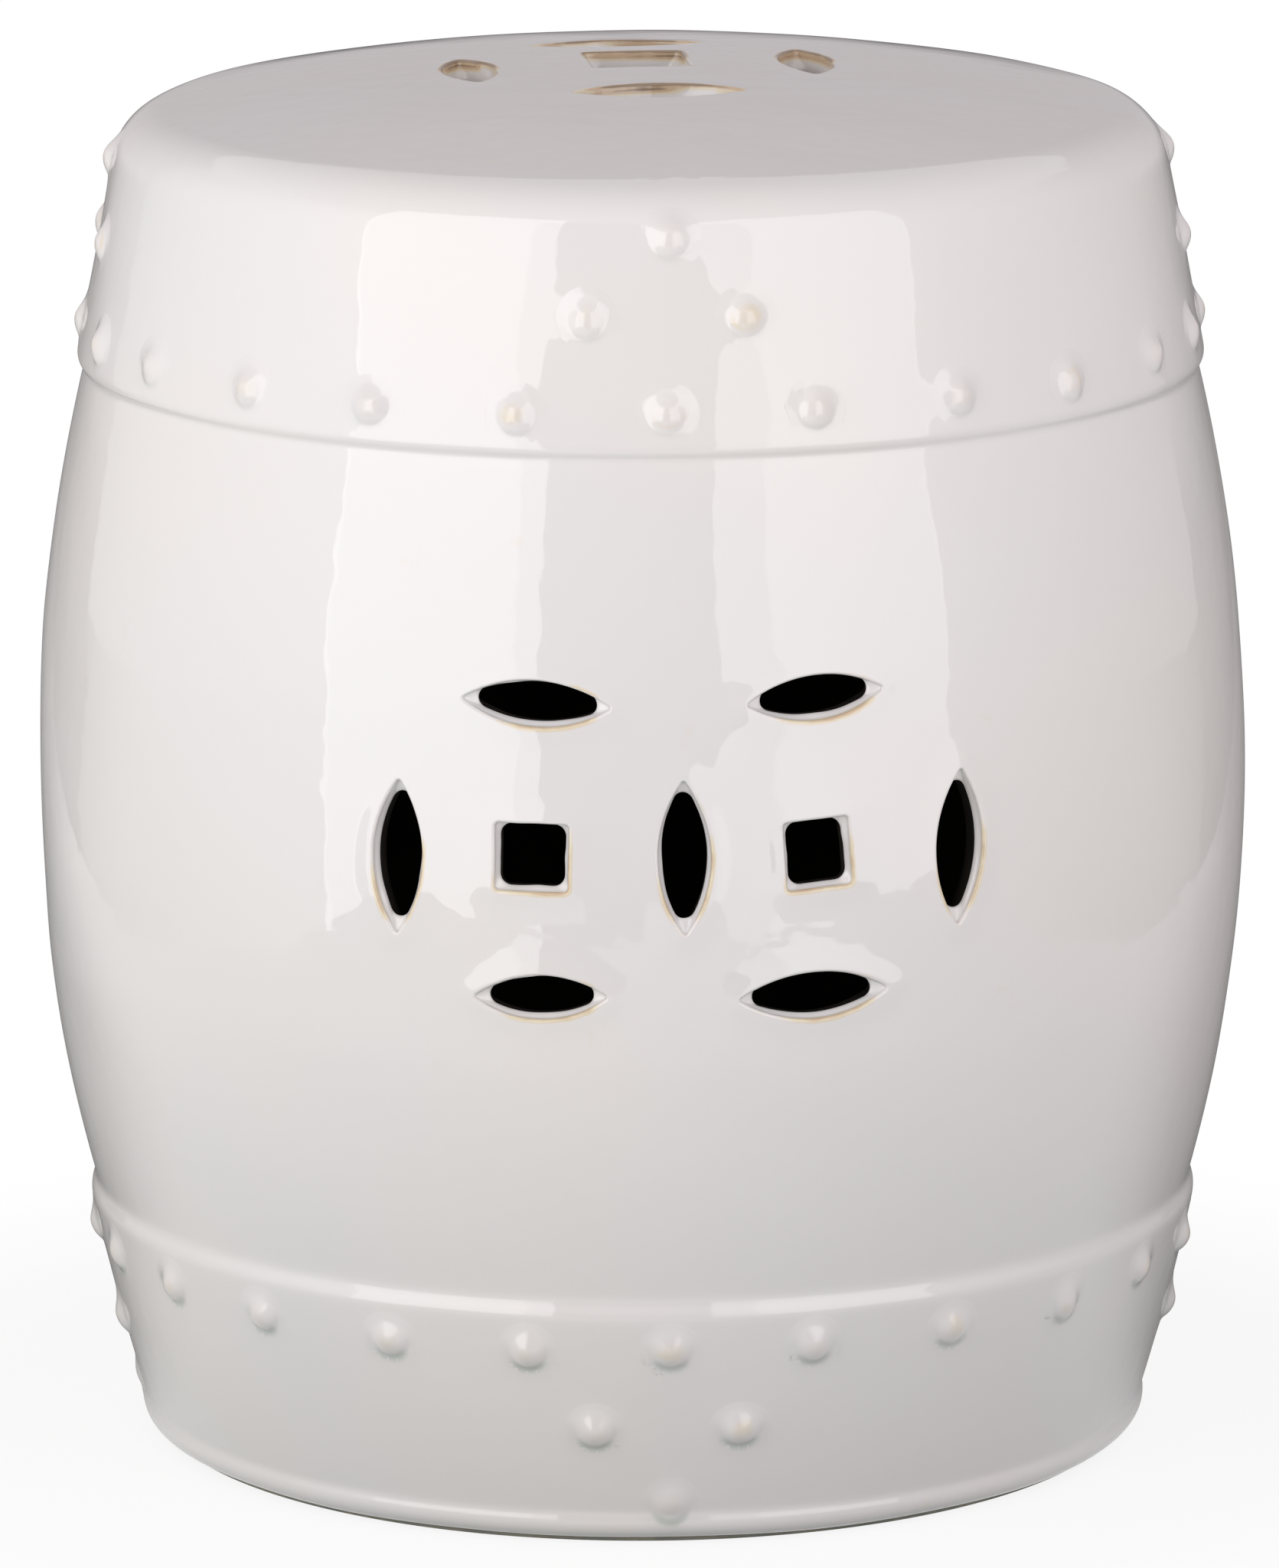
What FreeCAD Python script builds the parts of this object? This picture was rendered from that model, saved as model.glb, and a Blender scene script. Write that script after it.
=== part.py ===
import FreeCAD, Part
import math
import os

# Drum-shaped garden stool of white glazed ceramic, hollow and open underneath.
# Millimetres, +Z up, origin on the floor at the centre of the foot, front towards -Y.
# The potter builds it from clay parts, which are lapped and luted together with slip:
# foot ring, lower band, barrel, upper band and seat, with small pressed studs on the bands.

# Overall sizes
overall_height = 433.0
belly_radius = 189.2
wall = 9.0

# Heights of the clay parts, from the foot up, with the barrel taking what is left
foot_height = 10.0
lower_band_height = 69.5
upper_band_height = 79.5
seat_dome = 14.5
belly_drop = 3.5

# Outside radii where the parts meet
foot_radius = 152.6
lower_band_foot_radius = 158.0
barrel_bottom_radius = 172.2
barrel_top_radius = 173.2
seat_radius = 148.0

# Bands: how far they stand out from the barrel, and the shape of their sides
ledge_step = 2.2
ledge_round = 3.0
lower_band_bulge = 0.8
shoulder_width = 15.3
shoulder_depth = 14.7

# Laps: a tongue on one part stands in a rebate of the next
lap_height = 10.0
foot_lap_height = 6.0
tongue_thickness = 4.5

# Seat
seat_thickness = 12.0
seat_lap = 6.0
seat_lip_depth = 6.0

# Foot ring
foot_width = 11.0
foot_bead = 0.5
foot_bead_height = 6.5
clay_line_height = 2.8
clay_line_step = 1.6

# Pierced coins in the barrel, two side by side that share their middle leaf
coin_leaf_distance = 44.5
side_leaf_length = 45.0
side_leaf_width = 16.0
side_square = 23.0
coin_rise = 11.3

# Pierced coin in the seat
seat_leaf_distance = 52.0
seat_leaf_length = 52.0
seat_leaf_width = 17.0
seat_square = 31.0
seat_coin_turn = 3.0

# Studs, pressed from small balls of clay
stud_radius = 6.25
stud_height = 2.8
studs_in_row = 24
upper_row_rise = 13.5
lower_row_drop = 14.7
upper_tip_drop = 15.0
lower_tip_rise = 3.7

# Heights of the joints above the floor
lower_ledge = foot_height + lower_band_height
rim_height = overall_height - seat_dome
upper_ledge = rim_height - upper_band_height
barrel_middle = (lower_ledge + upper_ledge) / 2
belly_height = barrel_middle - belly_drop
coin_height = barrel_middle + coin_rise

# Radii of the bands at their ledges and of the rebates that hold the tongues
lower_ledge_radius = barrel_bottom_radius + ledge_step
upper_ledge_radius = barrel_top_radius + ledge_step
lower_tongue_radius = barrel_bottom_radius - wall + tongue_thickness
upper_tongue_radius = barrel_top_radius - wall + tongue_thickness
foot_tongue_radius = lower_band_foot_radius - wall + tongue_thickness
shoulder_radius = seat_radius + shoulder_width
shoulder_height = rim_height - shoulder_depth
seat_step_radius = seat_radius - seat_lap

# The barrel's openings are cut by tools that reach from inside the hollow to past the belly
cutter_start = belly_radius / 2
cutter_reach = belly_radius

sides = {"front": 0.0, "right": 90.0, "back": 180.0, "left": 270.0}


def at(radius, height):
    """Point of a profile, drawn in the XZ plane."""
    return FreeCAD.Vector(radius, 0, height)


def straight(start, end):
    return Part.LineSegment(start, end).toShape()


def straights(points):
    return [straight(a, b) for a, b in zip(points[:-1], points[1:])]


def bowed(start, end, bulge):
    """Arc between two points that stands out by the bulge at its middle."""
    chord = end - start
    outward = FreeCAD.Vector(chord.z, 0, -chord.x).normalize()
    middle = (start + end) / 2 + outward * bulge
    return Part.Arc(start, middle, end).toShape()


def tangent_arc(start, direction, end):
    """Arc that leaves its start along a direction and runs to its end."""
    along = FreeCAD.Vector(direction).normalize()
    normal = FreeCAD.Vector(-along.z, 0, along.x)
    chord = end - start
    radius = chord.dot(chord) / (2 * chord.dot(normal))
    centre = start + normal * radius
    half = (start + end) / 2 - centre
    middle = centre + half.normalize() * abs(radius)
    return Part.Arc(start, middle, end).toShape()


def turned(edges):
    """Ring or disc made by turning a closed profile about the stool's axis."""
    outline = Part.Wire(Part.__sortEdges__(edges))
    return Part.Face(outline).revolve(FreeCAD.Vector(0, 0, 0), FreeCAD.Vector(0, 0, 1), 360)


def spun(shape, degrees):
    copy = shape.copy()
    copy.rotate(FreeCAD.Vector(0, 0, 0), FreeCAD.Vector(0, 0, 1), degrees)
    return copy


def save(name, shape):
    shape.exportStep("parts/" + name + ".step")
    print(name, len(shape.Solids), "solids", round(shape.Volume / 1000, 1), "cm3", shape.isValid())


# Outsides of the parts, each drawn from its lower end up

def foot_outside():
    """Unglazed line at the floor, then the rolled bead."""
    bottom = at(foot_radius, 0)
    clay_top = at(foot_radius, clay_line_height)
    under_bead = at(foot_radius + clay_line_step, clay_line_height)
    bead = at(lower_band_foot_radius + foot_bead, foot_bead_height)
    top = at(lower_band_foot_radius, foot_height)
    return straights([bottom, clay_top, under_bead]) + [Part.Arc(under_bead, bead, top).toShape()]


def lower_band_outside():
    bottom = at(lower_band_foot_radius, foot_height)
    side_top = at(lower_ledge_radius, lower_ledge - ledge_round)
    ledge = at(lower_ledge_radius - ledge_round, lower_ledge)
    side = bowed(bottom, side_top, lower_band_bulge)
    return [side, tangent_arc(side_top, at(0, 1), ledge)]


def barrel_side(inset):
    """Two arcs that meet at the belly; an inset draws the inside of the wall."""
    bottom = at(barrel_bottom_radius - inset, lower_ledge)
    belly = at(belly_radius - inset, belly_height)
    top = at(barrel_top_radius - inset, upper_ledge)
    return [tangent_arc(belly, at(0, -1), bottom), tangent_arc(belly, at(0, 1), top)]


def upper_band_outside():
    ledge = at(upper_ledge_radius - ledge_round, upper_ledge)
    side_bottom = at(upper_ledge_radius, upper_ledge + ledge_round)
    shoulder = at(shoulder_radius, shoulder_height)
    rim = at(seat_radius, rim_height)
    nose = tangent_arc(side_bottom, at(0, -1), ledge)
    return [nose, straight(side_bottom, shoulder), tangent_arc(shoulder, shoulder - side_bottom, rim)]


# Clay parts

def make_foot_ring():
    """Ring that the stool stands on, with a tongue that stands inside the lower band."""
    inner = foot_radius - foot_width
    tongue_inner = lower_band_foot_radius - wall
    tongue_top = foot_height + foot_lap_height
    inside = [at(lower_band_foot_radius, foot_height), at(foot_tongue_radius, foot_height),
              at(foot_tongue_radius, tongue_top), at(tongue_inner, tongue_top),
              at(tongue_inner, foot_height), at(inner, clay_line_height),
              at(inner, 0), at(foot_radius, 0)]
    return turned(foot_outside() + straights(inside))


def make_lower_band():
    """Band with a rebate at each end, for the tongues of the foot ring and of the barrel."""
    socket_top = foot_height + foot_lap_height
    seat_bottom = lower_ledge - lap_height
    low_inner = lower_band_foot_radius - wall
    high_inner = barrel_bottom_radius - wall
    inside = [at(lower_ledge_radius - ledge_round, lower_ledge), at(lower_tongue_radius, lower_ledge),
              at(lower_tongue_radius, seat_bottom), at(high_inner, seat_bottom),
              at(low_inner, socket_top), at(foot_tongue_radius, socket_top),
              at(foot_tongue_radius, foot_height), at(lower_band_foot_radius, foot_height)]
    return turned(lower_band_outside() + straights(inside))


def make_barrel():
    """Bulging wall with a tongue below and above, and coins pierced through front and back."""
    top_inner = barrel_top_radius - wall
    bottom_inner = barrel_bottom_radius - wall
    upper_end = [at(barrel_top_radius, upper_ledge), at(upper_tongue_radius, upper_ledge),
                 at(upper_tongue_radius, upper_ledge + lap_height),
                 at(top_inner, upper_ledge + lap_height), at(top_inner, upper_ledge)]
    lower_end = [at(barrel_bottom_radius, lower_ledge), at(lower_tongue_radius, lower_ledge),
                 at(lower_tongue_radius, lower_ledge - lap_height),
                 at(bottom_inner, lower_ledge - lap_height), at(bottom_inner, lower_ledge)]
    profile = barrel_side(0) + straights(upper_end) + barrel_side(wall) + straights(lower_end)
    return turned(profile).cut(Part.makeCompound(coin_cutters()))


def make_upper_band():
    """Band and shoulder, rebated below for the barrel's tongue and above for the seat."""
    top_inner = barrel_top_radius - wall
    tongue_top = upper_ledge + lap_height
    step_height = rim_height - seat_lip_depth
    lip_bottom = rim_height - seat_thickness
    inner_shoulder = at(shoulder_radius - wall, shoulder_height - wall)
    inside = [at(seat_radius, rim_height), at(seat_radius, step_height),
              at(seat_step_radius, step_height), at(seat_step_radius, lip_bottom),
              inner_shoulder, at(top_inner, tongue_top), at(upper_tongue_radius, tongue_top),
              at(upper_tongue_radius, upper_ledge), at(upper_ledge_radius - ledge_round, upper_ledge)]
    return turned(upper_band_outside() + straights(inside))


def make_seat():
    """Domed disc with a stepped edge, which drops into the rebate of the upper band."""
    top = at(0, overall_height)
    rim = at(seat_radius, rim_height)
    under_edge = at(seat_step_radius, rim_height - seat_thickness)
    under_middle = at(0, overall_height - seat_thickness)
    edge = [rim, at(seat_radius, rim_height - seat_lip_depth),
            at(seat_step_radius, rim_height - seat_lip_depth), under_edge]
    dome = tangent_arc(top, at(1, 0), rim)
    underside = tangent_arc(under_middle, at(1, 0), under_edge)
    disc = turned([dome, underside, straight(under_middle, top)] + straights(edge))
    return disc.cut(Part.makeCompound(seat_cutters()))


# Openings

def leaf_face(length, width):
    """Pointed leaf of two equal arcs, lying along X in the XY plane."""
    left = FreeCAD.Vector(-length / 2, 0, 0)
    right = FreeCAD.Vector(length / 2, 0, 0)
    upper = Part.Arc(left, FreeCAD.Vector(0, width / 2, 0), right).toShape()
    lower = Part.Arc(right, FreeCAD.Vector(0, -width / 2, 0), left).toShape()
    return Part.Face(Part.Wire([upper, lower]))


def square_face(side):
    corner = FreeCAD.Vector(-side / 2, -side / 2, 0)
    return Part.makePlane(side, side, corner)


def through_wall(face, arc_offset, height):
    """Stand a flat outline up facing the front, and push it out through the barrel wall."""
    tool = face.copy()
    tool.rotate(FreeCAD.Vector(0, 0, 0), FreeCAD.Vector(1, 0, 0), 90)
    tool.translate(FreeCAD.Vector(0, -cutter_start, height))
    tool = tool.extrude(FreeCAD.Vector(0, -cutter_reach, 0))
    return spun(tool, math.degrees(arc_offset / belly_radius))


def coin_cutters():
    """Two coins at the front and two at the back, each a square with four leaves round it."""
    flat_leaf = leaf_face(side_leaf_length, side_leaf_width)
    upright_leaf = spun(flat_leaf, 90)
    square = square_face(side_square)
    tools = []
    for arc_offset in (-2 * coin_leaf_distance, 0, 2 * coin_leaf_distance):
        tools.append(through_wall(upright_leaf, arc_offset, coin_height))
    for arc_offset in (-coin_leaf_distance, coin_leaf_distance):
        tools.append(through_wall(square, arc_offset, coin_height))
        tools.append(through_wall(flat_leaf, arc_offset, coin_height + coin_leaf_distance))
        tools.append(through_wall(flat_leaf, arc_offset, coin_height - coin_leaf_distance))
    return tools + [spun(tool, sides["back"]) for tool in tools]


def seat_cutters():
    """One coin in the middle of the seat, turned a little as it was cut by hand."""
    leaf = leaf_face(seat_leaf_length, seat_leaf_width)
    leaf.translate(FreeCAD.Vector(0, -seat_leaf_distance, 0))
    outlines = [square_face(seat_square)] + [spun(leaf, turn) for turn in sides.values()]
    tools = []
    for outline in outlines:
        outline.translate(FreeCAD.Vector(0, 0, rim_height - 2 * seat_thickness))
        tool = outline.extrude(FreeCAD.Vector(0, 0, overall_height))
        tools.append(spun(tool, seat_coin_turn))
    return tools


# Studs

def filled(outside, low, high):
    """Solid core bounded by an outside, to cut the backs of the studs to the clay under them."""
    return turned(outside + straights([high, at(0, high.z), at(0, low.z), low]))


def stud(surface_radius, height, lean, cores):
    """Ball of clay pressed on the band, so that only a low cap stands out at the front."""
    ball_radius = (stud_radius ** 2 + stud_height ** 2) / (2 * stud_height)
    outward = FreeCAD.Vector(0, -math.cos(lean), math.sin(lean))
    centre = FreeCAD.Vector(0, -surface_radius, height) - outward * (ball_radius - stud_height)
    cap = Part.makeSphere(ball_radius, centre, outward)
    for core in cores:
        cap = cap.cut(core)
    return cap.Solids[0]


def upper_stud(height, cores):
    """Stud on the straight side of the upper band, or at the foot of its shoulder."""
    side_bottom = upper_ledge + ledge_round
    lean = math.atan2(upper_ledge_radius - shoulder_radius, shoulder_height - side_bottom)
    surface_radius = upper_ledge_radius - (height - side_bottom) * math.tan(lean)
    return stud(surface_radius, height, lean, cores)


def lower_stud(height, cores):
    """Stud on the lower band, whose side leans the other way."""
    side_height = lower_ledge - ledge_round - foot_height
    share = (height - foot_height) / side_height
    lean = math.atan2(lower_band_foot_radius - lower_ledge_radius, side_height)
    bulge = lower_band_bulge * 4 * share * (1 - share)
    surface_radius = lower_band_foot_radius - (height - foot_height) * math.tan(lean) + bulge
    return stud(surface_radius, height, lean, cores)


def row(single):
    """The same stud all round the band."""
    pitch = 360 / studs_in_row
    return Part.makeCompound([spun(single, pitch * n) for n in range(studs_in_row)])


def cluster(pair_stud, tip_stud, turn):
    """Three studs that make a triangle with the row: two side by side and one at the tip."""
    half_pitch = 180 / studs_in_row
    studs = [spun(pair_stud, turn - half_pitch), spun(pair_stud, turn + half_pitch)]
    return Part.makeCompound(studs + [spun(tip_stud, turn)])


# Build and save

os.makedirs("parts", exist_ok=True)

save("foot_ring", make_foot_ring())
save("lower_band", make_lower_band())
save("barrel_wall", make_barrel())
save("upper_band", make_upper_band())
save("seat_disc", make_seat())

upper_core = filled(upper_band_outside(), at(upper_ledge_radius - ledge_round, upper_ledge),
                    at(seat_radius, rim_height))
lower_core = filled(lower_band_outside(), at(lower_band_foot_radius, foot_height),
                    at(lower_ledge_radius - ledge_round, lower_ledge))
foot_core = filled(foot_outside(), at(foot_radius, 0), at(lower_band_foot_radius, foot_height))

upper_row_height = upper_ledge + upper_row_rise
upper_tip_height = rim_height - upper_tip_drop
upper_pair_height = (upper_row_height + upper_tip_height) / 2
lower_row_height = lower_ledge - lower_row_drop
lower_tip_height = foot_height + lower_tip_rise
lower_pair_height = (lower_row_height + lower_tip_height) / 2

save("upper_row_studs", row(upper_stud(upper_row_height, [upper_core])))
save("lower_row_studs", row(lower_stud(lower_row_height, [lower_core])))

upper_pair = upper_stud(upper_pair_height, [upper_core])
upper_tip = upper_stud(upper_tip_height, [upper_core])
lower_pair = lower_stud(lower_pair_height, [lower_core])
lower_tip = lower_stud(lower_tip_height, [lower_core, foot_core])
for side, turn in sides.items():
    save("upper_cluster_studs_" + side, cluster(upper_pair, upper_tip, turn))
    save("lower_cluster_studs_" + side, cluster(lower_pair, lower_tip, turn))
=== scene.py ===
import math
import random
from collections import namedtuple

import bpy
import numpy as np
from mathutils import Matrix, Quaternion, Vector
from mathutils.geometry import delaunay_2d_cdt


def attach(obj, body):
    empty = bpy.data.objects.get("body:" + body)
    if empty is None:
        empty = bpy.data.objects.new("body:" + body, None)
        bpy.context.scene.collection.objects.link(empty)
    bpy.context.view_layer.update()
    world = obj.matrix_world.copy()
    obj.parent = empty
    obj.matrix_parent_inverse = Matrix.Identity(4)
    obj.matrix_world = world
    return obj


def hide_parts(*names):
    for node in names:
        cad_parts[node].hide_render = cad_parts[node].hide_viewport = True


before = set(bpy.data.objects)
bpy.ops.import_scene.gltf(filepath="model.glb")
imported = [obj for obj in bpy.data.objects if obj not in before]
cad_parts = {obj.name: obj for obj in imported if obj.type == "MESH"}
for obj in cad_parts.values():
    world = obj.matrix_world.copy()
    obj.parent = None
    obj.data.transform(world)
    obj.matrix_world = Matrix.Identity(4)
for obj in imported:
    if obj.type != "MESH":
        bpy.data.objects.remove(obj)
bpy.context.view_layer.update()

# Ceramic garden stool under a poured white glaze.
# Shapes are worked out in millimetres and turned into metres when a mesh is made.
# A place on the outside is an angle round the axis, from the front towards the right,
# and a distance along the profile, from the foot up and over the seat.
MM = 0.001

# Clay parts, the same sizes as in the CAD
OVERALL_HEIGHT = 433.0
BELLY_RADIUS = 189.2
BELLY_HEIGHT = 205.75
WALL = 9.0
FOOT_HEIGHT = 10.0
FOOT_RADIUS = 152.6
FOOT_WIDTH = 11.0
CLAY_LINE_HEIGHT = 1.7
CLAY_LINE_STEP = 1.6
BEAD_OUT = 0.8
BEAD_HEIGHT = 6.5
LOWER_BAND_FOOT_RADIUS = 158.0
LOWER_BAND_BULGE = 0.8
LOWER_LEDGE = 79.5
UPPER_LEDGE = 339.0
BARREL_BOTTOM_RADIUS = 172.2
BARREL_TOP_RADIUS = 173.2
COIN_HEIGHT = 220.55
LEDGE_STEP = 2.2
LEDGE_ROUND = 3.0
SHOULDER_RADIUS = 163.3
SHOULDER_HEIGHT = 403.8
SEAT_RADIUS = 148.0
RIM_HEIGHT = 418.5
SEAT_THICKNESS = 12.0
SEAT_REST = 6.0
STUDS_IN_ROW = 24


def smooth(x, start=0.0, width=1.0):
    """Zero up to the start, then smooth up to one over the width."""
    x = np.clip((x - start) / width, 0, 1)
    return x * x * (3 - 2 * x)


def bell(offset, spread):
    return np.exp(-(offset / spread) ** 2)


def wrapped(angle):
    return (angle + math.pi) % math.tau - math.pi


def turned(theta, radius):
    """Across and back of a place at this angle round the axis."""
    return radius * np.sin(theta), -radius * np.cos(theta)


# Profile of the outside

PROFILE_STEP = 0.1
GLAZE_SOFTENING = 1.15
LEDGE_SOFTENING = 2.1
LEDGE_SPREAD = 9.0
SOFTENING_REACH = 4
# The middle of the seat sinks. A name that ends in _OVER is where something fades and how far
SEAT_SINK = 1.6
SINK_OVER = (0.2, 0.6)


def point(radius, height):
    return np.array([radius, height], dtype=float)


def arc_about(centre, start, end):
    """Points on the short arc about a centre."""
    radius = np.hypot(*(start - centre))
    first, last = (math.atan2(*(place - centre)[::-1]) for place in (start, end))
    turn = wrapped(last - first)
    count = max(3, int(abs(turn) * radius / PROFILE_STEP))
    angles = first + turn * np.linspace(0, 1, count)
    return centre + radius * np.stack([np.cos(angles), np.sin(angles)], 1)


def arc_through(a, b, c):
    """Arc through three points."""
    ab, bc = b - a, c - b
    m1, m2 = (a + b) / 2, (b + c) / 2
    centre = np.linalg.solve(np.array([ab, bc]), np.array([ab @ m1, bc @ m2]))
    return np.concatenate([arc_about(centre, a, b), arc_about(centre, b, c)[1:]])


def tangent_arc(start, direction, end):
    """Arc that leaves its start along a direction."""
    along = direction / np.hypot(*direction)
    normal = np.array([-along[1], along[0]])
    chord = end - start
    radius = chord @ chord / (2 * (chord @ normal))
    return arc_about(start + normal * radius, start, end)


def bowed(start, end, bulge):
    """Arc that stands out from its chord by the bulge."""
    chord = end - start
    outward = np.array([chord[1], -chord[0]]) / np.hypot(*chord)
    radius = (chord @ chord / 4 + bulge ** 2) / (2 * bulge)
    return arc_about((start + end) / 2 + outward * (bulge - radius), start, end)


def line(start, end):
    count = max(2, int(np.hypot(*(end - start)) / PROFILE_STEP))
    return start + (end - start) * np.linspace(0, 1, count)[:, None]


def softened(path, amount):
    reach = int(SOFTENING_REACH * amount / PROFILE_STEP)
    offsets = np.arange(-reach, reach + 1) * PROFILE_STEP
    weights = np.exp(-0.5 * (offsets / amount) ** 2)
    weights /= weights.sum()
    padded = np.pad(path, ((reach, reach), (0, 0)), mode="reflect", reflect_type="odd")
    return np.stack([np.convolve(row, weights, "valid") for row in padded.T], 1)


def evenly(path):
    """The same path with points a step apart."""
    lengths = np.concatenate([[0], np.cumsum(np.hypot(*np.diff(path, axis=0).T))])
    places = np.arange(0, lengths[-1], PROFILE_STEP)
    return np.stack([np.interp(places, lengths, row) for row in path.T], 1)


def outside_profile():
    """Radius and height along the outside, softened by the glaze."""
    bead_low = point(FOOT_RADIUS + CLAY_LINE_STEP, CLAY_LINE_HEIGHT)
    bead_mid = point(LOWER_BAND_FOOT_RADIUS + BEAD_OUT, BEAD_HEIGHT)
    band_foot = point(LOWER_BAND_FOOT_RADIUS, FOOT_HEIGHT)
    low_ledge = BARREL_BOTTOM_RADIUS + LEDGE_STEP
    band_top = point(low_ledge, LOWER_LEDGE - LEDGE_ROUND)
    low_nose = point(low_ledge - LEDGE_ROUND, LOWER_LEDGE)
    belly = point(BELLY_RADIUS, BELLY_HEIGHT)
    high_ledge = BARREL_TOP_RADIUS + LEDGE_STEP
    high_nose = point(high_ledge - LEDGE_ROUND, UPPER_LEDGE)
    side_low = point(high_ledge, UPPER_LEDGE + LEDGE_ROUND)
    shoulder = point(SHOULDER_RADIUS, SHOULDER_HEIGHT)
    rim = point(SEAT_RADIUS, RIM_HEIGHT)
    top = point(0, OVERALL_HEIGHT)

    low_arc = tangent_arc(band_top, point(0, 1), low_nose)
    high_arc = tangent_arc(side_low, point(0, -1), high_nose)[::-1]
    dome = tangent_arc(top, point(1, 0), rim)[::-1]
    dome[:, 1] -= SEAT_SINK * (1 - smooth(dome[:, 0] / SEAT_RADIUS, *SINK_OVER))
    path = np.concatenate([
        arc_through(bead_low, bead_mid, band_foot),
        bowed(band_foot, band_top, LOWER_BAND_BULGE),
        low_arc[low_arc[:, 0] > BARREL_BOTTOM_RADIUS],
        tangent_arc(belly, point(0, -1), point(BARREL_BOTTOM_RADIUS, LOWER_LEDGE))[::-1],
        tangent_arc(belly, point(0, 1), point(BARREL_TOP_RADIUS, UPPER_LEDGE)),
        high_arc[high_arc[:, 0] > BARREL_TOP_RADIUS],
        line(side_low, shoulder),
        tangent_arc(shoulder, shoulder - side_low, rim),
        dome,
    ])
    moves = np.hypot(*np.diff(path, axis=0).T) > PROFILE_STEP / 100
    path = evenly(path[np.concatenate([[True], moves])])
    ledge = bell(path[:, 1] - LOWER_LEDGE, LEDGE_SPREAD)[:, None]
    soft = (1 - ledge) * softened(path, GLAZE_SOFTENING) + ledge * softened(path, LEDGE_SOFTENING)
    return evenly(soft)


PROFILE = outside_profile()
ALONG = np.arange(len(PROFILE)) * PROFILE_STEP
TANGENT = np.gradient(PROFILE, PROFILE_STEP, axis=0)
TANGENT /= np.hypot(*TANGENT.T)[:, None]
PLACES = np.stack([*PROFILE.T, TANGENT[:, 1], -TANGENT[:, 0]])


def profile(s):
    """Radius and height at a distance along the profile, and how it faces out and up."""
    return [np.interp(s, ALONG, row) for row in PLACES]


# Places just past the ones that they are named for
BELOW_RIM = 1.0
OVER_LEDGE = 0.1
BELOW_SHOULDER = 2.0


def along_at_height(height):
    return np.interp(height, PROFILE[:, 1], ALONG)


def along_at_seat_radius(radius):
    start = int(along_at_height(RIM_HEIGHT - BELOW_RIM) / PROFILE_STEP)
    return np.interp(-np.asarray(radius), -PROFILE[start:, 0], ALONG[start:])


FOOT_SEAM = along_at_height(FOOT_HEIGHT)
LOWER_SEAM = along_at_height(LOWER_LEDGE)
UPPER_SEAM = along_at_height(UPPER_LEDGE + OVER_LEDGE)
SHOULDER_START = along_at_height(SHOULDER_HEIGHT - BELOW_SHOULDER)
SEAT_SEAM = float(along_at_seat_radius(SEAT_RADIUS))


# Places of the studs

# Each row's height, and how many degrees its front studs stray sideways
ROWS = [
    ("upper", 352.5, {-75: -0.5, -60: -1.6, -45: -0.8, -30: -0.7, -15: -0.4, 0: -0.5, 15: -0.7,
                      60: 0.8}),
    ("lower", 65.0, {-60: -0.2, -45: -0.5, -30: 0.4, -15: 0.2, 0: -0.3, 15: -0.6, 45: 0.8,
                     60: 0.7}),
]
SEEN_ANGLE = 75
ROW_STRAY = 0.9
ROW_LIFT = 0.7
ROW_PROUD = (0.85, 1.1)
# The height of each cluster's pair and tip, and how proud the tip stands
CLUSTERS = [("upper", 380.0, 403.5, 1.0), ("lower", 38.6, 13.7, 0.62)]
SIDES = {"front": 0.0, "right": 90.0, "back": -180.0, "left": -90.0}
# The two of a pair: pitches of the row aside, shift in degrees and lift
PAIR = [(-0.5, -0.9, 0.0), (0.5, -0.3, 0.3)]
PAIR_STRAY = 0.4
PAIR_PROUD = (0.9, 1.1)
TIP_SHIFT = -0.3
TIP_STRAY = 0.3
HAND_SEED = 5


def stud_places():
    """Angle, height and how proud it stands, for the studs of each CAD node."""
    hand = random.Random(HAND_SEED)
    pitch = 360 / STUDS_IN_ROW
    places = {}
    for row, height, stray in ROWS:
        studs = []
        for n in range(STUDS_IN_ROW):
            angle = round((n * pitch + 180) % 360 - 180)
            seen = abs(angle) <= SEEN_ANGLE
            off = stray.get(angle, 0.0) if seen else hand.uniform(-ROW_STRAY, ROW_STRAY)
            studs.append((angle + off, height + hand.uniform(-ROW_LIFT, ROW_LIFT),
                          hand.uniform(*ROW_PROUD)))
        places[row + "_row_studs"] = studs
    for row, pair, tip, proud in CLUSTERS:
        for side, turn in SIDES.items():
            studs = [(turn + pitches * pitch + shift + hand.uniform(-PAIR_STRAY, PAIR_STRAY),
                      pair + lift, hand.uniform(*PAIR_PROUD)) for pitches, shift, lift in PAIR]
            studs.append((turn + TIP_SHIFT + hand.uniform(-TIP_STRAY, TIP_STRAY), tip, proud))
            places[f"{row}_cluster_studs_{side}"] = studs
    return places


STUD_PLACES = stud_places()
# Angle, distance along the profile and how proud it stands, for every stud
ALL_STUDS = [(math.radians(angle), along_at_height(height), proud)
             for studs in STUD_PLACES.values() for angle, height, proud in studs]


# Openings

SIDE_POINTS = 17
CORNER_POINTS = 7
LEAF_POINTS = 36
TIP_POINTS = 10
# The hand's wobble in an outline
WOBBLE_LOBES = (2, 3, 5, 7)
WOBBLE_SIZE = (0.05, 0.25)
# Runs of white glaze down the cut
RUN_COUNT = (2, 4)
RUN_SIZE = 0.4
SEAT_RUN_SIZE = 1.6
RUN_SHARE = (0.3, 1.0)
RUN_SPREAD = (0.2, 0.4)
RUN_COVER = 1.6
RUN_DEPTH = 2.5
# How much shorter, narrower, rounder and higher the glaze makes a cut that it fills
FILLED = {"leaf": (7.8, 1.9, 2.6), "square": (2.2, 1.7, 2.3)}
FILL_LIFT = 0.35


def direction(turn):
    return np.array([math.cos(turn), math.sin(turn)])


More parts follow.
